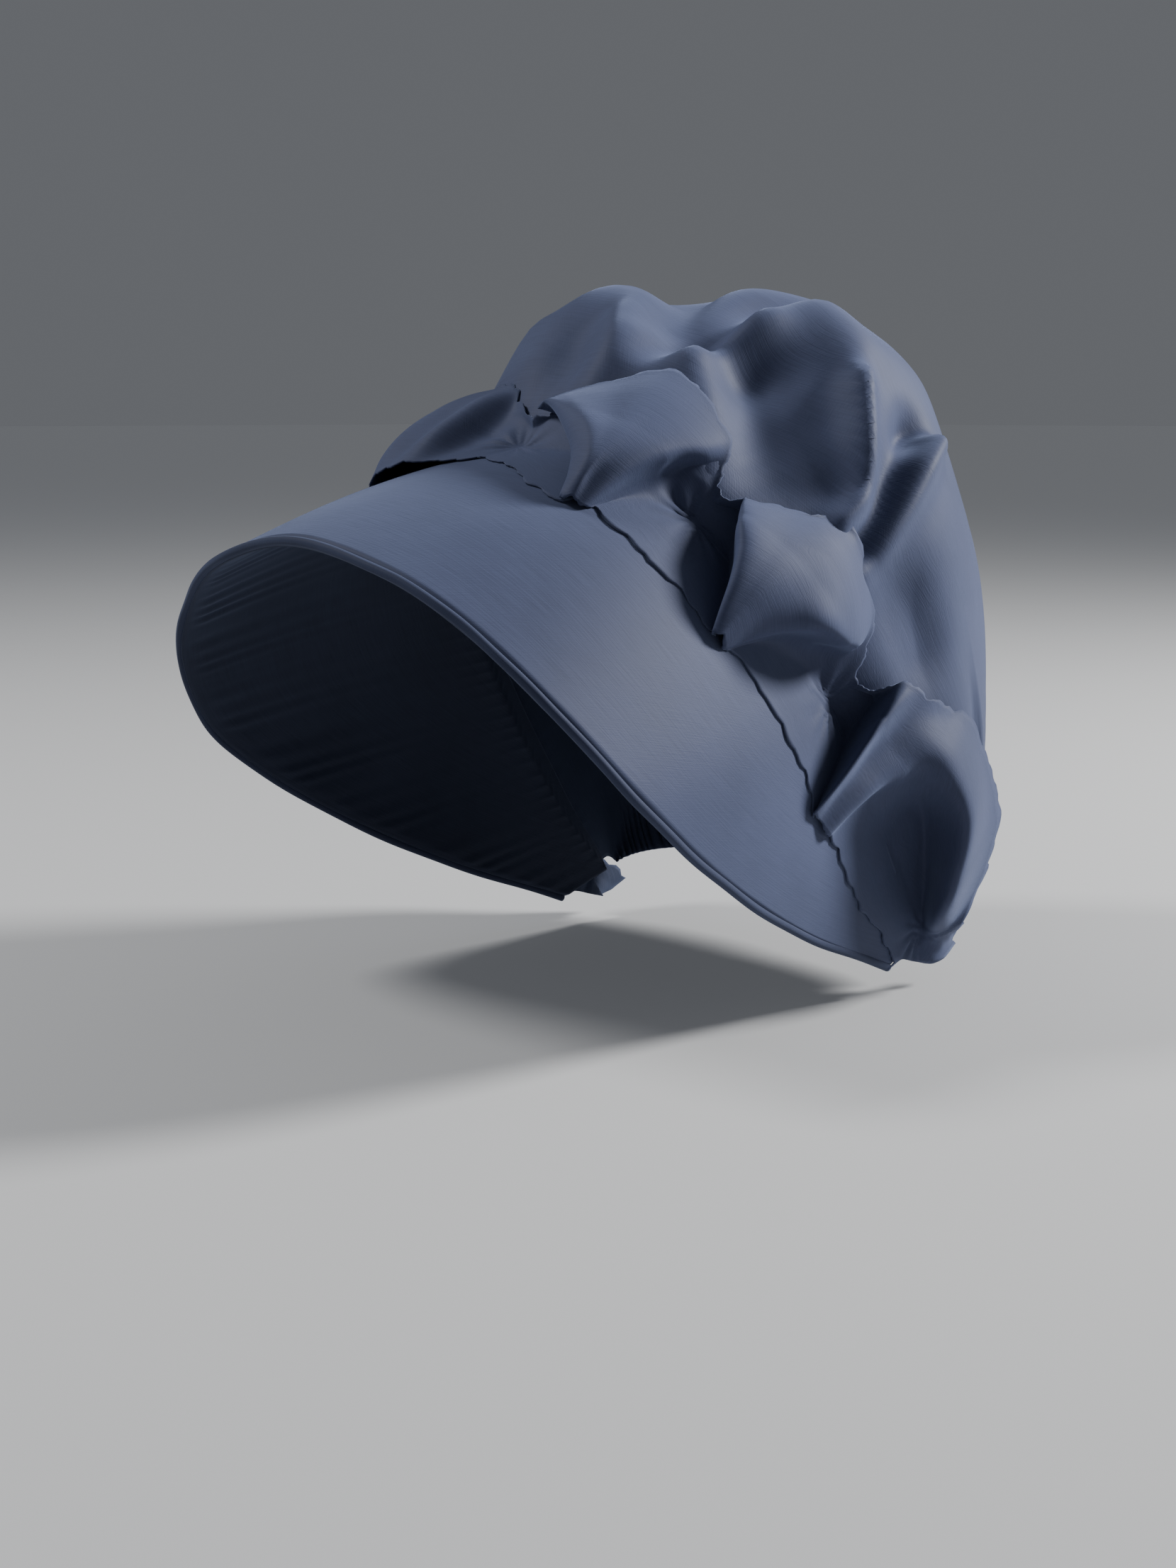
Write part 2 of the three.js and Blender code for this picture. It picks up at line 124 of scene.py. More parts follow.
# Places of the tacks along the seam, and of the band's ends beyond the corners.
TACKS = (-0.985, -0.583, -0.298, 0.004, 0.298, 0.583, 0.985)
BAND_END = 1.035
# Nets of the puffs. Each row is a key on the way from the tack nearer the crest to the outer one, and
# gives three values for the lines from the band's front edge to its rear edge: the share of the way, mm
# forward of the seam and mm above the brim.
BAND_LINES = 7
START, END = (0,) * BAND_LINES, (1,) * BAND_LINES
SIDE_TACK = ((35, 23, 12, 3, -3, -8, -9), (1.7, 1.7, 1.7, 1.8, 2.5, 5, 10))
CREST_TACK = ((18, 14, 8, 2, -3, -8, -9), (1.7, 1.7, 1.7, 1.8, 2.5, 5, 10))
CORNER_TACK = ((22, 15, 9, 5, 3, 3, -6), (1.7, 1.7, 1.7, 2.2, 5, 11, 18))
# The puff on each side of the bonnet.
PILLOW = (
    (START, *SIDE_TACK),
    # floor of the pocket, flat on the brim and running back under the rear edge
    (
        (0.34, 0.30, 0.25, 0.18, 0.12, 0.08, 0.055),
        (38, 28, 18, 8, -3, -12, -10), (1.7, 1.7, 1.7, 1.8, 2, 6, 14),
    ),
    # foot of the ridge
    (
        (0.49, 0.43, 0.37, 0.30, 0.215, 0.14, 0.08),
        (39, 29, 19, 9, -1, -12, -11), (1.7, 1.7, 1.9, 2.4, 4, 9, 17),
    ),
    # ridge
    (
        (0.475, 0.385, 0.30, 0.215, 0.135, 0.095, 0.09),
        (41, 33, 24, 14, 5, -4, -11), (4, 10, 15.5, 19, 20, 19, 17.5),
    ),
    # face
    (
        (0.50, 0.43, 0.37, 0.32, 0.275, 0.25, 0.25),
        (41, 31, 20, 8, -4, -14, -23), (5.5, 13, 20, 24, 24.5, 22.5, 20),
    ),
    (
        (0.53, 0.50, 0.48, 0.48, 0.475, 0.47, 0.47),
        (40, 29, 17, 3, -12, -25, -38), (4.5, 12.5, 20.5, 26, 28, 27, 23.5),
    ),
    # brow
    (
        (0.555, 0.56, 0.59, 0.64, 0.73, 0.79, 0.78),
        (39, 28, 18, 10, 0, -13, -31), (3, 8.5, 17, 24.5, 24.5, 23, 19.5),
    ),
    # underside
    (
        (0.570, 0.578, 0.60, 0.65, 0.745, 0.86, 0.89),
        (37, 26, 14, 5, -4, -12, -22), (1.8, 3, 6, 9, 9.5, 11, 14),
    ),
    # foot
    (
        (0.61, 0.635, 0.67, 0.73, 0.83, 0.92, 0.955),
        (36, 25, 15, 6, -2, -9, -13), (1.7, 1.7, 1.9, 2.3, 3, 6, 10),
    ),
    (END, *SIDE_TACK),
)
# The puff on the near side of the crest: its face runs on into the crown.
CREST = (
    (START, *CREST_TACK),
    # floor of the pocket
    (
        (0.20, 0.19, 0.17, 0.13, 0.09, 0.05, 0.02),
        (24, 19, 12, 5, -2, -9, -10), (1.7, 1.7, 1.7, 1.8, 2, 5, 12),
    ),
    (
        (0.42, 0.41, 0.38, 0.33, 0.25, 0.15, 0.06),
        (33, 26, 16, 6, -5, -14, -12), (1.7, 1.7, 1.7, 1.8, 2, 5, 12),
    ),
    # foot of the ridge
    (
        (0.61, 0.63, 0.62, 0.57, 0.46, 0.30, 0.10),
        (36, 28, 18, 7, -5, -13, -15), (1.7, 1.7, 1.8, 2, 2.8, 6, 11),
    ),
    # lip over the pocket
    (
        (0.585, 0.545, 0.47, 0.355, 0.215, 0.10, 0.04),
        (34, 26, 16, 6, -4, -10, -11), (4, 7.5, 10.5, 13, 15.5, 16.5, 15),
    ),
    # ridge
    (
        (0.61, 0.595, 0.56, 0.48, 0.36, 0.22, 0.12),
        (35, 29, 20.5, 11, 1, -8, -14), (4.8, 10.5, 16, 19.5, 21, 20, 18.5),
    ),
    # face
    (
        (0.64, 0.63, 0.61, 0.56, 0.48, 0.40, 0.31),
        (35.5, 29, 21, 9, -3, -14, -27), (5, 11.5, 17, 21, 22.5, 23, 22),
    ),
    (
        (0.67, 0.655, 0.65, 0.63, 0.60, 0.58, 0.56),
        (35, 28, 19, 7, -8, -23, -40), (4, 9.5, 16.5, 21.5, 24.5, 26.5, 27),
    ),
    # brow
    (
        (0.70, 0.71, 0.725, 0.75, 0.785, 0.84, 0.86),
        (34, 25, 15, 4, -6, -17, -31), (3.3, 9, 14.5, 18.5, 20, 20, 20),
    ),
    # underside
    (
        (0.71, 0.72, 0.735, 0.76, 0.80, 0.875, 0.93),
        (32, 23, 12, 0, -10, -16, -21), (1.8, 3, 5.5, 7.5, 8.5, 10.5, 14),
    ),
    # foot
    (
        (0.74, 0.76, 0.79, 0.83, 0.88, 0.94, 0.97),
        (31, 22, 13, 4, -5, -10, -13), (1.7, 1.7, 1.8, 2.1, 2.8, 6, 11),
    ),
    (END, *SIDE_TACK),
)
# The puff on the far side of the crest: its front edge stands off the brim.
LIFTED = (
    (START, *CREST_TACK),
    # rising, with a soft fold across
    (
        (0.14, 0.13, 0.12, 0.11, 0.10, 0.10, 0.10),
        (24, 18, 11, 4, -3, -10, -13), (2.6, 3.2, 4, 5, 6.5, 9.5, 13.5),
    ),
    (
        (0.26, 0.25, 0.24, 0.23, 0.22, 0.21, 0.20),
        (28, 21, 13, 5, -4, -12, -18), (4, 4.2, 5, 6.5, 8.5, 12, 15.5),
    ),
    (
        (0.34, 0.33, 0.32, 0.31, 0.30, 0.28, 0.27),
        (31, 24, 16, 6, -4, -13, -22), (6.5, 9.5, 13.5, 17, 19.5, 20, 19),
    ),
    (
        (0.44, 0.43, 0.42, 0.42, 0.41, 0.40, 0.40),
        (34, 27, 18, 7, -4, -15, -27), (7, 10, 13.5, 17, 20, 21.5, 21),
    ),
    # crest
    (
        (0.54, 0.54, 0.54, 0.54, 0.54, 0.54, 0.54),
        (35.5, 29, 19, 8, -4, -17, -30), (7.5, 13, 18.5, 22.5, 25, 25, 22.5),
    ),
    (
        (0.64, 0.64, 0.65, 0.66, 0.67, 0.68, 0.69),
        (36, 28, 19, 8, -3, -15, -28), (5.5, 10, 15, 19, 21.5, 21.5, 19.5),
    ),
    # falling
    (
        (0.75, 0.76, 0.77, 0.78, 0.80, 0.82, 0.84),
        (36, 26, 16, 7, -2, -11, -20), (2.6, 4, 6, 8.5, 11, 13, 14.5),
    ),
    (
        (0.87, 0.88, 0.89, 0.90, 0.92, 0.94, 0.95),
        (36, 25, 14, 5, -2, -9, -13), (1.7, 1.7, 2, 2.6, 4, 7, 11),
    ),
    (END, *SIDE_TACK),
)
# The puff at each corner: a ridge, then a deep hollow under a standing flange.
CUP = (
    (START, *SIDE_TACK),
    # floor of the pocket
    (
        (0.20, 0.18, 0.15, 0.12, 0.075, 0.045, 0.03),
        (37, 27, 17, 7, -3, -12, -10), (1.7, 1.7, 1.7, 1.8, 2, 6, 14),
    ),
    # foot of the ridge
    (
        (0.295, 0.255, 0.22, 0.18, 0.135, 0.09, 0.05),
        (40, 30, 20, 10, -1, -13, -13), (1.7, 1.7, 1.9, 2.4, 4, 10, 18),
    ),
    # ridge
    (
        (0.285, 0.23, 0.175, 0.125, 0.085, 0.07, 0.07),
        (42, 33, 23, 12, 2, -8, -18), (4, 9.5, 14.5, 18.5, 21.5, 24, 25),
    ),
    # valley between the ridges
    (
        (0.33, 0.28, 0.235, 0.19, 0.165, 0.16, 0.16),
        (41, 32, 22, 11, 0, -12, -25), (2.8, 6.5, 10.5, 14, 18.5, 23.5, 27.5),
    ),
    # second ridge
    (
        (0.375, 0.335, 0.30, 0.275, 0.265, 0.26, 0.27),
        (38, 29, 19, 9, -2, -15, -37), (4.5, 9, 13.5, 17, 22, 28, 25),
    ),
    # wall of the hollow
    (
        (0.415, 0.385, 0.36, 0.35, 0.355, 0.36, 0.37),
        (36, 26, 16, 6, -7, -15, -48), (2, 3.5, 6, 9, 17, 31, 24),
    ),
    # hollow
    (
        (0.53, 0.53, 0.53, 0.53, 0.54, 0.53, 0.55),
        (34, 23, 12, -3, -17, -12, -48), (1.7, 1.7, 1.8, 2.4, 9, 32, 23),
    ),
    # deepest place of the hollow
    (
        (0.72, 0.72, 0.72, 0.72, 0.73, 0.71, 0.74),
        (29, 19, 9, -2, -12, -2, -43), (1.7, 1.7, 1.7, 1.9, 7, 26, 23),
    ),
    # narrowing to the corner
    (
        (0.88, 0.88, 0.885, 0.89, 0.905, 0.87, 0.88),
        (24, 16, 9, 2, -4, 6, -27), (1.7, 1.7, 1.7, 2.0, 5, 18, 22),
    ),
    (END, *CORNER_TACK),
)
# Flare of the tail at its end: mm forward, mm high and mm beyond the corner.
TAIL = ((26, 18, 12, 8, 6, -1, -9), (1.7, 1.8, 2.0, 1.9, 6.5, 8, 8), (0.5, 2, 8, 12, 13, 14.5, 16))
# From the far corner to the near one.
PUFFS = (CUP, PILLOW, LIFTED, CREST, PILLOW, CUP)
# How high the band's middle lies on the brim and on the crown, and how softly it comes to rest.
REST_ON_BRIM = 1.7
REST_ON_CROWN = 1.2
SOFT_REST = 1.2
# Grid on which the crown's height under the band is found.
CROWN_REACH = 0.42
CROWN_PROBES = 40
SHELF_STEPS = 600
# Length from the crest to a corner by which puckers and gathers are paced.
HALF_RUN = 330

# ---- Small tools ----
NO_LENGTH = 1e-12
NO_LENGTH_SQUARED = 1e-9
NO_STEP = 1e-6
SMALL_STEP = 0.001
LINE_STEPS = 6


def smooth(x):
    x = np.clip(x, 0, 1)
    return x * x * (3 - 2 * x)


def mix(a, b, f):
    return a + (b - a) * f


def unit(v):
    return v / np.maximum(np.linalg.norm(v, axis=-1, keepdims=True), NO_LENGTH)


def through(values, place):
    """Catmull-Rom values through rows of points, at places counted in steps."""
    values = np.asarray(values, float)
    place = np.asarray(place, float)
    last = len(values) - 1
    i = np.clip(np.floor(place).astype(int), 0, last - 1)
    f = (place - i)[..., None]
    b, c = values[i], values[i + 1]
    a = np.where((i > 0)[..., None], values[np.maximum(i - 1, 0)], 2 * b - c)
    d = np.where((i + 2 <= last)[..., None], values[np.minimum(i + 2, last)], 2 * c - b)
    square = 2 * a - 5 * b + 4 * c - d
    cube = 3 * b - a - 3 * c + d
    return 0.5 * (2 * b + (c - a) * f + square * f**2 + cube * f**3)


def both_halves(column):
    """Points of one end of the rules, from the far corner over the crest to the near corner."""
    near = np.array([row[column] for row in BRIM_RULES], float)
    return np.concatenate([(near[1:] * (-1, 1, 1))[::-1], near])


FRONT_EDGE = both_halves(0)
SEAM = both_halves(1)
HALF_STEPS = len(BRIM_RULES) - 1


def on_curve(curve, t):
    """Points of a curve over both halves; t is -1 at the far corner, 0 at the crest, 1 at the near one."""
    return through(curve, (np.asarray(t, float) + 1) * HALF_STEPS)


def seam_frame(t):
    """The seam's point, its run, the way forward on the brim, the way up from it, and the brim's width."""
    at = np.clip(t, -1, 1)
    before, after = np.maximum(at - SMALL_STEP, -1), np.minimum(at + SMALL_STEP, 1)
    seam, front = on_curve(SEAM, at), on_curve(FRONT_EDGE, at)
    along = unit(on_curve(SEAM, after) - on_curve(SEAM, before))
    rule = front - seam
    forward = unit(rule - along * (rule * along).sum(-1, keepdims=True))
    up = unit(np.cross(forward, along))
    return seam, along, forward, up, np.linalg.norm(rule, axis=-1)


def brim_point(t, s):
    """Middle of the brim and its outward normal; s is 0 at the front edge and 1 at the seam."""
    t, s = np.broadcast_arrays(np.asarray(t, float), np.asarray(s, float))
    k = s[..., None]
    front, seam = on_curve(FRONT_EDGE, t), on_curve(SEAM, t)
    before, after = np.maximum(t - SMALL_STEP, -1), np.minimum(t + SMALL_STEP, 1)
    along = mix(on_curve(FRONT_EDGE, after), on_curve(SEAM, after), k)
    along = along - mix(on_curve(FRONT_EDGE, before), on_curve(SEAM, before), k)
    outward = unit(np.cross(along, seam - front))
    bow = BRIM_BOW * np.sin(np.pi * s) * np.minimum(1, BOW_FADE * (1 - np.abs(t)))
    return mix(front, seam, k) + outward * bow[..., None], outward


def neck_edge(t):
    back = np.cos(np.pi / 2 * np.abs(t)) ** NECK_ROUNDNESS
    x = np.sin(np.pi / 2 * t) * NECK_HALF_WIDTH
    y, z = (mix(corner, middle, back) for corner, middle in zip(NECK_CORNER, NECK_BACK))
    return np.stack([x, y, z], -1)


def rib_direction(t):
    share = np.abs(t)
    parts = [np.interp(share, RIB_DIRECTIONS[:, 0], RIB_DIRECTIONS[:, k]) for k in (1, 2, 3)]
    parts[0] = parts[0] * np.sign(t)
    return np.stack(parts, -1)


def line_distance(points, line):
    """Distance of points from a smooth line through a few places."""
    best = None
    line = np.asarray(line, float)
    if len(line) > 2:
        line = through(line, np.linspace(0, len(line) - 1, LINE_STEPS * (len(line) - 1) + 1))
    for a, b in zip(line[:-1], line[1:]):
        d = b - a
        k = np.clip(((points - a) @ d) / max(d @ d, NO_LENGTH_SQUARED), 0, 1)
        gap = np.linalg.norm(points - (a + k[..., None] * d), axis=-1)
        best = gap if best is None else np.minimum(best, gap)
    return best


def fold_shape(distance, width, blunt):
    """1 on the crest of a fold, falling to 0 on both sides; a blunt crest is rounder."""
    reach = np.sqrt(distance**2 + blunt**2) - blunt
    return np.exp(-((reach / (width - blunt / 2)) ** FOLD_FALL))


def crown_point(t, s):
    """Middle of the crown; s is 0 at the seam and 1 at the neck edge."""
    t, s = np.broadcast_arrays(np.asarray(t, float), np.asarray(s, float))
    seam, _, forward, _, _ = seam_frame(t)
    start = seam - forward * SEAM_STEP - CROWN_CENTRE
    end = neck_edge(t) - CROWN_CENTRE
    start_length, end_length = (np.linalg.norm(v, axis=-1) for v in (start, end))
    k = s[..., None]
    direction = unit(
        unit(start) * (1 - k) ** 2 + rib_direction(t) * (2 * k * (1 - k) * RIB_PULL) + unit(end) * k**2
    )
    full = 1 / np.linalg.norm(direction / CROWN_RADII, axis=-1)
    at_seam = np.exp(-((s / EASE_SPAN) ** EASE_POWER))
    at_neck = np.exp(-(((1 - s) / EASE_SPAN) ** EASE_POWER))
    free = 1 - at_seam - at_neck
    taut = mix(start_length, end_length, s)
    drawn_in = mix(full, taut, smooth((np.abs(t) - CORNER_DRAW) / (1 - CORNER_DRAW)))
    radius = drawn_in * free + start_length * at_seam + end_length * at_neck
    base = CROWN_CENTRE + direction * radius[..., None]
    rise = sum(h * fold_shape(line_distance(base, line), w, blunt) for _, line, w, blunt, h in CROWN_FOLDS)
    return base + direction * (rise * np.clip(free * FOLD_GAIN, 0, 1))[..., None]


CROWN_SHELF = crown_point(
    np.linspace(-1, 1, SHELF_STEPS + 1)[:, None], CROWN_REACH * np.linspace(0, 1, CROWN_PROBES)[None]
)


def crown_height(t, forward):
    """Height of the crown above the brim's plane at places behind the seam."""
    seam, _, ahead, up, _ = seam_frame(t)
    place = (np.clip(t, -1, 1) + 1) / 2 * SHELF_STEPS
    i = np.minimum(place.astype(int), SHELF_STEPS - 1)
    part = (place - i)[..., None]

    def probe(k):
        reach = mix(CROWN_SHELF[i, k], CROWN_SHELF[i + 1, k], part) - seam
        return (reach * ahead).sum(-1), (reach * up).sum(-1)

    first, previous = probe(0)
    furthest = np.minimum(0, first)
    height = previous
    done = np.zeros(np.shape(t), bool)
    for k in range(1, CROWN_PROBES):
        here, level = probe(k)
        here = np.minimum(furthest, here)
        hit = ~done & (forward >= here)
        f = np.clip((furthest - forward) / np.maximum(furthest - here, NO_STEP), 0, 1)
        height = np.where(hit, mix(previous, level, f), height)
        done |= hit
        furthest, previous = here, level
    return np.where(done, height, previous)


# ---- Band ----


def soft_max(a, b, width):
    """The larger of two heights, rounded where they meet."""
    return 0.5 * (a + b + np.sqrt((a - b) ** 2 + width**2))


def band_points(t, forward, height, beyond=0.0):
    """Places of the band, kept clear of the brim and of the crown under it."""
    seam, along, ahead, above, width = seam_frame(t)
    at = np.clip(t, -1, 1)
    on_brim, _ = brim_point(at, 1 - np.maximum(forward, 0) / width)
    behind = np.minimum(forward, 0)
    rest = np.where(forward > 0, REST_ON_BRIM, crown_height(t, behind) + REST_ON_CROWN)
    lifted = soft_max(height, rest, SOFT_REST) - SOFT_REST / 2
    rear = seam + ahead * behind[..., None]
    foot = np.where((forward > 0)[..., None], on_brim, rear)
    past = np.sign(t) * np.maximum(0, np.abs(t) - 1) / (BAND_END - 1) * beyond
    return foot + above * lifted[..., None] + along * past[..., None]


def grid_normals(grid):
    along = np.gradient(grid, axis=0)
    across = np.gradient(grid, axis=1)
    return unit(np.cross(along, across))


# Rows from one key to the next, rows in a tail, and columns across.
BAND_STEPS = {"span": 10, "tail": 10, "across": 52}
# Slow wobble: rates a mm, and how the seed shifts each.
WOBBLES = ((0.031, 1), (0.083, 2.3), (0.17, 4.1))
# Pinked edges: pitch and depth of the scallops and of the fine teeth on them, how unevenly they run and
# stand, the mean of a scallop's arch, and how far the columns beside the edge follow it.
SCALLOPS = ((10.5, 1.9), (3.1, 0.5))
SCALLOP_DRIFT, SCALLOP_UNEVEN, SCALLOP_MEAN = 0.35, 0.3, 0.64
EDGE_WANDER, EDGE_WANDER_RATE = 1.3, 1.6
EDGE_SHARES = (1, 0.55, 0.2)
SEED_STEP = 5
# Small pleats that run out of each tack, which lies at TACK_PLACE forward of the seam and above it.
PLEAT_REACH, PLEAT_START, PLEAT_CLEAR, PLEAT_DEPTH, PLEATS_ROUND = 24, 3, 0.5, 0.75, 11
PLEAT_TURN, PLEAT_SWAY, PLEAT_LEAST, PLEAT_CHANGE = 1.7, 0.6, 0.6, 0.4
TACK_PLACE = (1.0, 2.0)


def wander(x, seed):
    """A slow, smooth wobble between about -1 and 1."""
    return sum(np.sin(rate * x + shift * seed) for rate, shift in WOBBLES) / 2


def pinked(grid, seed):
    """Cuts both long edges of a band's grid in small uneven scallops."""
    grid = grid.copy()
    for column, step in ((0, 1), (-1, -1)):
        edge = grid[:, column]
        run = np.concatenate([[0], np.linalg.norm(np.diff(edge, axis=0), axis=1).cumsum()])
        outward = unit(edge - grid[:, column + 2 * step])
        reach = EDGE_WANDER * wander(run * EDGE_WANDER_RATE, seed)
        for pitch, depth in SCALLOPS:
            phase = run / pitch + SCALLOP_DRIFT * wander(run, seed + pitch)
            arch = np.abs(np.sin(np.pi * phase)) - SCALLOP_MEAN
            reach += depth * arch * (1 + SCALLOP_UNEVEN * wander(run, seed + 2 * pitch))
        for k, share in enumerate(EDGE_SHARES):
            grid[:, column + k * step] += outward * (reach * share)[:, None]
        seed += SEED_STEP
    return grid


def pleated(grid):
    """Adds the small pleats that run out of the tacks."""
    normals = grid_normals(grid)
    lift = np.zeros(grid.shape[:2])
    for k, tack in enumerate(TACKS):
        place = band_points(np.array(tack), *np.array(TACK_PLACE))
        _, along, ahead, _, _ = seam_frame(np.array(tack))
        gap = grid - place
        distance = np.linalg.norm(gap, axis=-1)
        angle = np.arctan2(gap @ along, gap @ ahead)
        fade = smooth((distance - PLEAT_CLEAR) / PLEAT_START) * (1 - smooth(distance / PLEAT_REACH))
        wave = np.sin(PLEATS_ROUND * angle + PLEAT_TURN * k + PLEAT_SWAY * np.sin(3 * angle + k))
        lift += PLEAT_DEPTH * fade * wave * (PLEAT_LEAST + PLEAT_CHANGE * np.cos(2 * angle + k))
    return grid + normals * lift[..., None]


def band_grid():
    """The band's middle, from its far end over all the puffs to its near end."""
    across = np.linspace(0, BAND_LINES - 1, BAND_STEPS["across"] + 1)

    def spread(rows):
        """Values on the lines, taken to all columns."""
        return through(np.asarray(rows).T, across).T

    t_rows, forward_rows, height_rows = [], [], []
    beyond = spread([TAIL[2]])[0]

    def tail(side, shares):
        corner, end = np.array(CUP[-1][1:], float), np.array(TAIL[:2], float)
        for k in shares:
            forward, height = spread(mix(corner, end, smooth(k)))
            t_rows.append(np.full(across.shape, side * mix(TACKS[-1], BAND_END, k)))
            forward_rows.append(forward)
            height_rows.append(height)

    shares = np.linspace(0, 1, BAND_STEPS["tail"] + 1)[1:]
    tail(-1, shares[::-1])
    for k, puff in enumerate(PUFFS):
        net = np.array(puff, float)
        keys = len(net) - 1
        far = k < len(PUFFS) / 2
        inner, outer = (TACKS[k + 1], TACKS[k]) if far else (TACKS[k], TACKS[k + 1])
        places = np.linspace(0, keys, keys * BAND_STEPS["span"] + 1)
        rows = through(net.reshape(keys + 1, -1), places).reshape(-1, 3, BAND_LINES)
        if far:
            rows = rows[::-1]
        for row in rows if k == 0 else rows[1:]:
            share, forward, height = spread(row)
            t_rows.append(mix(inner, outer, share))
            forward_rows.append(forward)
            height_rows.append(height)
    tail(1, shares)
    return band_points(np.array(t_rows), np.array(forward_rows), np.array(height_rows), beyond)


# ---- Meshes ----


def placed(name, data):
    obj = bpy.data.objects.new(name, data)
    bpy.context.scene.collection.objects.link(obj)
    return obj


def cloth_mesh(name, points, faces, materials, uv):
    """A smooth mesh from points in mm, with the UV in metres along the cloth."""
    mesh = bpy.data.meshes.new(name)
    mesh.from_pydata((points * MM).tolist(), [], faces)
    mesh.polygons.foreach_set("use_smooth", np.ones(len(faces), bool))
    for material in materials:
        mesh.materials.append(material)
    loops = np.empty(len(mesh.loops), int)
    mesh.loops.foreach_get("vertex_index", loops)
    layer = mesh.uv_layers.new(name="cloth")
    layer.data.foreach_set("uv", uv[loops].ravel())
    return mesh


def sheet_mesh(name, top, bottom, materials):
    """A closed thin sheet from two grids; its underside takes the last material."""
    n, m = top.shape[:2]
    i, j = np.meshgrid(np.arange(n - 1), np.arange(m - 1), indexing="ij")
    a = (i * m + j).ravel()
    b, c, d = a + m, a + m + 1, a + 1
    under = n * m
    upper = np.stack([a, b, c, d], 1)
    lower = np.stack([d, c, b, a], 1) + under
    i = np.arange(n - 1)
    f0, f1 = i * m, (i + 1) * m
    b0, b1 = i * m + m - 1, (i + 1) * m + m - 1
    j = np.arange(m - 1)
    e0, e1 = j, j + 1
    g0, g1 = (n - 1) * m + j, (n - 1) * m + j + 1
    rims = [
        np.stack([f1, f0, f0 + under, f1 + under], 1),
        np.stack([b0, b1, b1 + under, b0 + under], 1),
        np.stack([e0, e1, e1 + under, e0 + under], 1),
        np.stack([g1, g0, g0 + under, g1 + under], 1),
    ]
    faces = np.concatenate([upper, lower, *rims])
    run = np.concatenate([np.zeros((1, m)), np.linalg.norm(np.diff(top, axis=0), axis=2).cumsum(0)])
    rise = np.concatenate([np.zeros((n, 1)), np.linalg.norm(np.diff(top, axis=1), axis=2).cumsum(1)], 1)
    uv = np.stack([run.ravel(), rise.ravel()], 1) * MM
    points = np.concatenate([top.reshape(-1, 3), bottom.reshape(-1, 3)])
    mesh = cloth_mesh(name, points, faces.tolist(), materials, np.concatenate([uv, uv]))
    index = np.zeros(len(faces), int)
    index[len(upper) : len(upper) + len(lower)] = len(materials) - 1
    mesh.polygons.foreach_set("material_index", index)
    mesh.update()
    return placed(name, mesh)


def offset_sheet(name, middle, wall, materials):
    normals = grid_normals(middle)
    return sheet_mesh(name, middle + normals * wall / 2, middle - normals * wall / 2, materials)


# ---- Materials ----
# Silk: clouds of the dye in space, and streaks of the warp and of the weft along the cloth. Scales and
# details of the noise, and the share of each in the tone.
CLOUD_SCALE, CLOUD_DETAIL, CLOUD_ROUGHNESS, CLOUD_SHARE = 14, 4, 0.5, 0.62
WARP_SCALE, WARP_DETAIL, WARP_SHARE = (60, 1400, 1), 3, 0.38
WEFT_SCALE, WEFT_DETAIL = (1600, 90, 1), 2
THREAD_ROUGHNESS = 0.6
# Place in the tone, and the share of the base colour, of the darkest and of the lightest dye.
DARK_DYE, LIGHT_DYE = (0.32, 0.78), (0.68, 1.24)
GLOSS_CHANGE = 0.12
SHEEN_ROUGHNESS, SHEEN_TINT = 0.5, (0.55, 0.66, 1.0, 1)
SPECULAR = 0.1
WEAVE_STRENGTH, WEAVE_DEPTH = 0.352, 0.0002


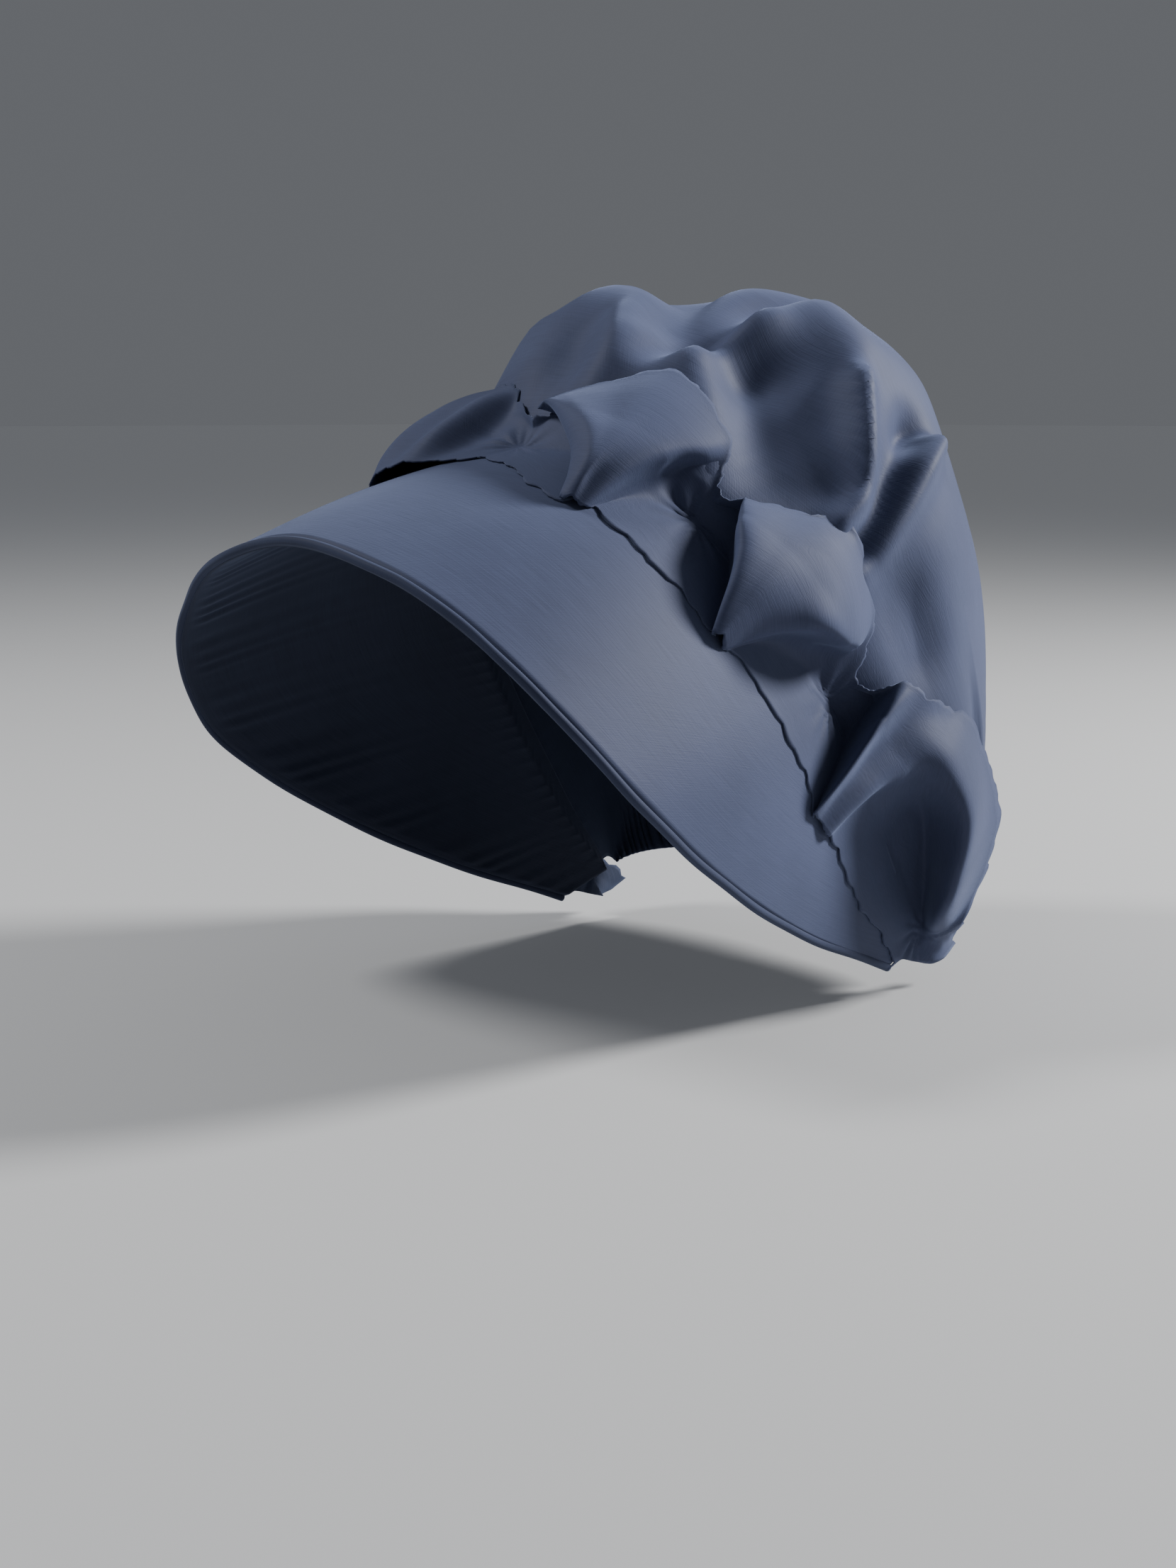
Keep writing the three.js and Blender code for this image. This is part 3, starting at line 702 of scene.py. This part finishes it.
def silk_material(name, base, roughness, sheen):
    mat = bpy.data.materials.new(name)
    mat.use_nodes = True
    nodes, links = mat.node_tree.nodes, mat.node_tree.links
    shader = nodes["Principled BSDF"]
    coords = nodes.new("ShaderNodeTexCoord")
    uv = nodes.new("ShaderNodeUVMap")
    uv.uv_map = "cloth"

    def noise(scale, detail, roughness, source):
        node = nodes.new("ShaderNodeTexNoise")
        node.inputs["Scale"].default_value = scale
        node.inputs["Detail"].default_value = detail
        node.inputs["Roughness"].default_value = roughness
        links.new(source, node.inputs["Vector"])
        return node.outputs["Fac"]

    def threads(scale, detail):
        node = nodes.new("ShaderNodeMapping")
        node.inputs["Scale"].default_value = scale
        links.new(uv.outputs["UV"], node.inputs["Vector"])
        return noise(1, detail, THREAD_ROUGHNESS, node.outputs["Vector"])

    def math_node(kind, a, b):
        node = nodes.new("ShaderNodeMath")
        node.operation = kind
        for k, value in enumerate((a, b)):
            if isinstance(value, (int, float)):
                node.inputs[k].default_value = value
            else:
                links.new(value, node.inputs[k])
        return node.outputs[0]

    cloud = noise(CLOUD_SCALE, CLOUD_DETAIL, CLOUD_ROUGHNESS, coords.outputs["Object"])
    warp = threads(WARP_SCALE, WARP_DETAIL)
    weft = threads(WEFT_SCALE, WEFT_DETAIL)
    clouds = math_node("MULTIPLY", cloud, CLOUD_SHARE)
    tone = math_node("ADD", clouds, math_node("MULTIPLY", warp, WARP_SHARE))
    dye = nodes.new("ShaderNodeValToRGB")
    for stop, (position, share) in zip(dye.color_ramp.elements, (DARK_DYE, LIGHT_DYE)):
        stop.position = position
        stop.color = (*(min(1, c * share) for c in base), 1)
    links.new(tone, dye.inputs["Fac"])
    links.new(dye.outputs["Color"], shader.inputs["Base Color"])
    gloss = math_node("ADD", math_node("MULTIPLY", cloud, GLOSS_CHANGE), roughness - GLOSS_CHANGE / 2)
    links.new(gloss, shader.inputs["Roughness"])
    shader.inputs["Sheen Weight"].default_value = sheen
    shader.inputs["Sheen Roughness"].default_value = SHEEN_ROUGHNESS
    shader.inputs["Sheen Tint"].default_value = SHEEN_TINT
    shader.inputs["Specular IOR Level"].default_value = SPECULAR
    bump = nodes.new("ShaderNodeBump")
    bump.inputs["Strength"].default_value = WEAVE_STRENGTH
    bump.inputs["Distance"].default_value = WEAVE_DEPTH
    links.new(math_node("ADD", warp, weft), bump.inputs["Height"])
    links.new(bump.outputs["Normal"], shader.inputs["Normal"])
    return mat


# Colours of the cloth, then its roughness and sheen.
SILK = (0.054, 0.064, 0.116)
# The wired edge's silk is painted darker than the rest of the silk: painted shade where the roll turns under
# the brim.
SILK_EDGE_PAINTED_SHADE = (0.034, 0.041, 0.076)
SILK_BACK = (0.040, 0.050, 0.088)
LINING = (0.030, 0.036, 0.062)
outer_silk = silk_material("satin_silk", SILK, 0.6, 0.2)
inner_silk = silk_material("silk_reverse", SILK_BACK, 0.7, 0.2)
edge_silk = silk_material("edge_silk", SILK_EDGE_PAINTED_SHADE, 0.66, 0.16)
lining_silk = silk_material("lining_silk", LINING, 0.62, 0.25)

# ---- Brim, covered on both faces ----
BRIM_GRID = (300, 40)


def brim_layer(t, s, offset):
    point, outward = brim_point(t, s)
    return point + outward * np.asarray(offset)[..., None]


brim_t = np.linspace(-1, 1, BRIM_GRID[0])[:, None]
brim_s = np.linspace(0, 1, BRIM_GRID[1])[None]
brim_faces = (brim_layer(brim_t, brim_s, side * BRIM_WALL / 2) for side in (1, -1))
brim = sheet_mesh("brim_cover", *brim_faces, [outer_silk, inner_silk])

# ---- Lining, gathered a little behind the edge and lapped onto the crown's inside ----
LINING_STEPS = (640, 56)
# It starts just before the front edge, LINING_GAP off the brim, and sinks by LINING_DROP within DROP_SPAN.
LINING_START, LINING_GAP, LINING_DROP, DROP_SPAN = -0.012, 0.15, 0.45, 0.04
# Puckers behind the front edge: how they wander and slant, and how far they are uneven.
PUCKER_DEPTH, PUCKER_PITCH, PUCKER_SPAN = 0.9, 9.0, 0.3
PUCKER_WANDER, PUCKER_SLANT, PUCKER_LEAST, PUCKER_CHANGE = 2.2, 1.5, 0.55, 0.45
PUCKER_START, PUCKER_FADE = 0.01, 0.05
# Small gathers at the seam.
TUCK_DEPTH, TUCK_PITCH, TUCK_SPAN, TUCK_WANDER = 0.45, 7, 0.08, 1.3
# The lap on the crown's inside, which runs towards LAP_CENTRE.
LAP_START, LAP_END, LAP_STEPS, LAP_CLEAR = 0.006, 0.035, 8, 0.5
LAP_CENTRE = np.array((0, 40, -70.0))


def lining_grid(drop):
    t = np.linspace(-1, 1, LINING_STEPS[0])[:, None]
    s = np.linspace(LINING_START, 1, LINING_STEPS[1])[None]
    run = t * HALF_RUN
    pleat = np.sin(2 * np.pi * run / PUCKER_PITCH + PUCKER_WANDER * wander(run, 3) + PUCKER_SLANT * s)
    pleat = pleat * (PUCKER_LEAST + PUCKER_CHANGE * wander(run * 2, 8))
    fade = smooth((s - PUCKER_START) / PUCKER_FADE)
    fade = fade * np.exp(-np.clip(s - PUCKER_FADE, 0, 1) / PUCKER_SPAN)
    tuck = np.sin(2 * np.pi * run / TUCK_PITCH + TUCK_WANDER * wander(run, 5))
    tuck = TUCK_DEPTH * np.exp(-(1 - s) / TUCK_SPAN) * tuck
    inward = BRIM_WALL / 2 + drop + LINING_DROP * smooth((s - LINING_START) / DROP_SPAN)
    inward = inward + PUCKER_DEPTH * fade * (1 + pleat) / 2 + np.maximum(0, tuck)
    on_brim = brim_layer(t, s, -inward)
    inner = crown_point(t * CROWN_END, np.linspace(LAP_START, LAP_END, LAP_STEPS)[None])
    on_crown = inner - unit(inner - LAP_CENTRE) * (CROWN_WALL / 2 + LAP_CLEAR + drop)
    return np.concatenate([on_brim, on_crown], 1)


lining_faces = (lining_grid(drop) for drop in (LINING_GAP, LINING_GAP + LINING_WALL))
lining = sheet_mesh("brim_lining_cloth", *lining_faces, [lining_silk])

# ---- Wired edge ----
ROLL_STEPS, ROLL_SIDES = 700, 14
ROLL_OVERLAP, ROLL_WANDER = 0.5, 0.3


def tube(name, path, radius, material):
    """A closed tube along a path of points in mm."""
    tangent = unit(np.gradient(path, axis=0))
    side = unit(np.cross(tangent, (0.0, 0.0, 1.0)))
    lift = unit(np.cross(side, tangent))
    angle = np.linspace(0, 2 * np.pi, ROLL_SIDES, endpoint=False)
    ring = side[:, None] * np.cos(angle)[None, :, None] + lift[:, None] * np.sin(angle)[None, :, None]
    points = path[:, None] + ring * radius
    n = len(path)
    faces = []
    for i in range(n - 1):
        here, after = i * ROLL_SIDES, (i + 1) * ROLL_SIDES
        for j in range(ROLL_SIDES):
            k = (j + 1) % ROLL_SIDES
            faces.append((here + j, here + k, after + k, after + j))
    faces.append(tuple(range(ROLL_SIDES))[::-1])
    faces.append(tuple((n - 1) * ROLL_SIDES + j for j in range(ROLL_SIDES)))
    run = np.concatenate([[0], np.linalg.norm(np.diff(path, axis=0), axis=1).cumsum()]) * MM
    uv = np.stack([np.repeat(run, ROLL_SIDES), np.tile(angle * radius * MM, n)], 1)
    mesh = cloth_mesh(name, points.reshape(-1, 3), faces, [material], uv)
    mesh.update()
    return placed(name, mesh)


def roll_path():
    t = np.linspace(-1, 1, ROLL_STEPS)
    edge = on_curve(FRONT_EDGE, t)
    along = unit(np.gradient(edge, axis=0))
    ahead = edge - on_curve(SEAM, t)
    ahead = unit(ahead - along * (ahead * along).sum(-1, keepdims=True))
    reach = EDGE_ROLL_DIAMETER / 2 - ROLL_OVERLAP + ROLL_WANDER * wander(t * HALF_RUN, 2)
    return edge + ahead * reach[:, None]


# The roll takes the darker edge silk, whose darkness is painted shade, not a different cloth.
roll = tube("wired_edge", roll_path(), EDGE_ROLL_DIAMETER / 2, edge_silk)

# ---- Crown, lapped a little over the brim under the band ----
CROWN_STEPS = (330, 140)
CROWN_SETTLING = 2
# Gathers: depth, pitch, span in which they fade, place at which they have ended, and seed.
NECK_GATHERS = (1.6, 13.0, 0.1, 0.3, 4)
SEAM_GATHERS = (0.5, 9.0, 0.06, 0.14, 6)
GATHER_START, GATHER_WANDER = 0.02, 2
# Rows that lap over the brim: mm forward of the seam and mm above the brim's middle.
CROWN_LAP = ((2.5, 1.5), (1.0, 1.5))


def settled(grid, times):
    """Takes the small kinks out of a grid, leaving its outer edges where they are."""
    grid = grid.copy()
    for _ in range(times):
        inner = grid[1:-1, 1:-1]
        around = grid[:-2, 1:-1] + grid[2:, 1:-1] + grid[1:-1, :-2] + grid[1:-1, 2:]
        grid[1:-1, 1:-1] = 0.5 * inner + 0.125 * around
    return grid


def gathers(run, s, depth, pitch, span, end, seed):
    """Waves along an edge at which s is 0, fading away from it."""
    wave = np.sin(2 * np.pi * run / pitch + GATHER_WANDER * wander(run, seed)) * depth
    return wave * np.exp(-s / span) * smooth(s / GATHER_START) * (1 - smooth(s / end))


def crown_grid():
    t = np.linspace(-CROWN_END, CROWN_END, CROWN_STEPS[0])[:, None]
    s = np.linspace(0, 1, CROWN_STEPS[1])[None]
    grid = settled(crown_point(t, s), CROWN_SETTLING)
    run = t * HALF_RUN
    lift = gathers(run, 1 - s, *NECK_GATHERS) + gathers(run, s, *SEAM_GATHERS)
    grid = grid + grid_normals(grid) * lift[..., None]
    width = seam_frame(t[:, 0])[-1][:, None]
    lap = [brim_layer(t, 1 - forward / width, rise) for forward, rise in CROWN_LAP]
    return np.concatenate([*lap, grid], 1)


crown = offset_sheet("crown_cloth", crown_grid(), CROWN_WALL, [outer_silk, inner_silk])

# ---- Band, pleated at its tacks and pinked at its edges ----
BAND_SEED = 1
band_middle = pinked(pleated(band_grid()), BAND_SEED)
band = offset_sheet("ruched_band_cloth", band_middle, BAND_WALL, [outer_silk, inner_silk])

# ---- Which solids these stand for ----
PIECES = (
    (brim, "brim", "brim_silk"),
    (lining, "brim_lining", "lining_silk"),
    (roll, "brim_edge_roll", "edge_silk"),
    (crown, "crown", "crown_silk"),
    (band, "ruched_band", "band_silk"),
)
for piece, node, slot in PIECES:
    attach(piece, "root")
    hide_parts(node)

# ---- Camera, light and floor ----
AZIMUTH, PITCH = math.radians(46), math.radians(9)
CAMERA_PLACE = (0.6473, -0.6358, 0.0232)
LENS, SENSOR = 54.1, 36
camera_data = bpy.data.cameras.new("camera")
camera_data.lens, camera_data.sensor_width = LENS, SENSOR
camera = placed("camera", camera_data)
camera.location = CAMERA_PLACE
level = math.cos(PITCH)
looking = Vector((-math.sin(AZIMUTH) * level, math.cos(AZIMUTH) * level, -math.sin(PITCH)))
camera.rotation_euler = looking.to_track_quat("-Z", "Y").to_euler()
bpy.context.scene.camera = camera

# Name, place, diameter and power of the lights, which all face one point.
LIGHT_TARGET = (0, 0, -0.05)
LIGHTS = (
    ("key", (0.86, 1.44, 0.88), 0.5, 76),
    ("fill", (-1.0, -0.9, 1.5), 0.55, 31),
)
for name, place, size, power in LIGHTS:
    lamp = bpy.data.lights.new(name, "AREA")
    lamp.shape, lamp.size, lamp.energy = "DISK", size, power
    light = placed(name, lamp)
    light.location = place
    light.rotation_euler = (Vector(LIGHT_TARGET) - Vector(place)).to_track_quat("-Z", "Y").to_euler()

# The floor gives off what it would reflect too little of, so that it meets the studio without a line.
FLOOR_Z, FLOOR_HALF = -0.2, 30
FLOOR_PALE, FLOOR_ROUGHNESS = 0.4, 0.9
STUDIO, STUDIO_LIGHT = (0.88, 0.92, 1.0), 0.15
FLOOR_CORNERS = ((-1, -1), (1, -1), (1, 1), (-1, 1))
floor_mesh = bpy.data.meshes.new("floor")
floor_corners = [(x * FLOOR_HALF, y * FLOOR_HALF, FLOOR_Z) for x, y in FLOOR_CORNERS]
floor_mesh.from_pydata(floor_corners, [], [(0, 1, 2, 3)])
floor = placed("floor", floor_mesh)
floor_mat = bpy.data.materials.new("floor")
floor_mat.use_nodes = True
floor_shader = floor_mat.node_tree.nodes["Principled BSDF"]
floor_shader.inputs["Base Color"].default_value = (FLOOR_PALE, FLOOR_PALE, FLOOR_PALE, 1)
floor_shader.inputs["Emission Color"].default_value = (*STUDIO, 1)
floor_shader.inputs["Emission Strength"].default_value = STUDIO_LIGHT * (1 - FLOOR_PALE)
floor_shader.inputs["Roughness"].default_value = FLOOR_ROUGHNESS
floor_mesh.materials.append(floor_mat)

world = bpy.data.worlds.new("studio")
bpy.context.scene.world = world
world.use_nodes = True
background = world.node_tree.nodes["Background"]
background.inputs["Color"].default_value = (*STUDIO, 1)
background.inputs["Strength"].default_value = STUDIO_LIGHT
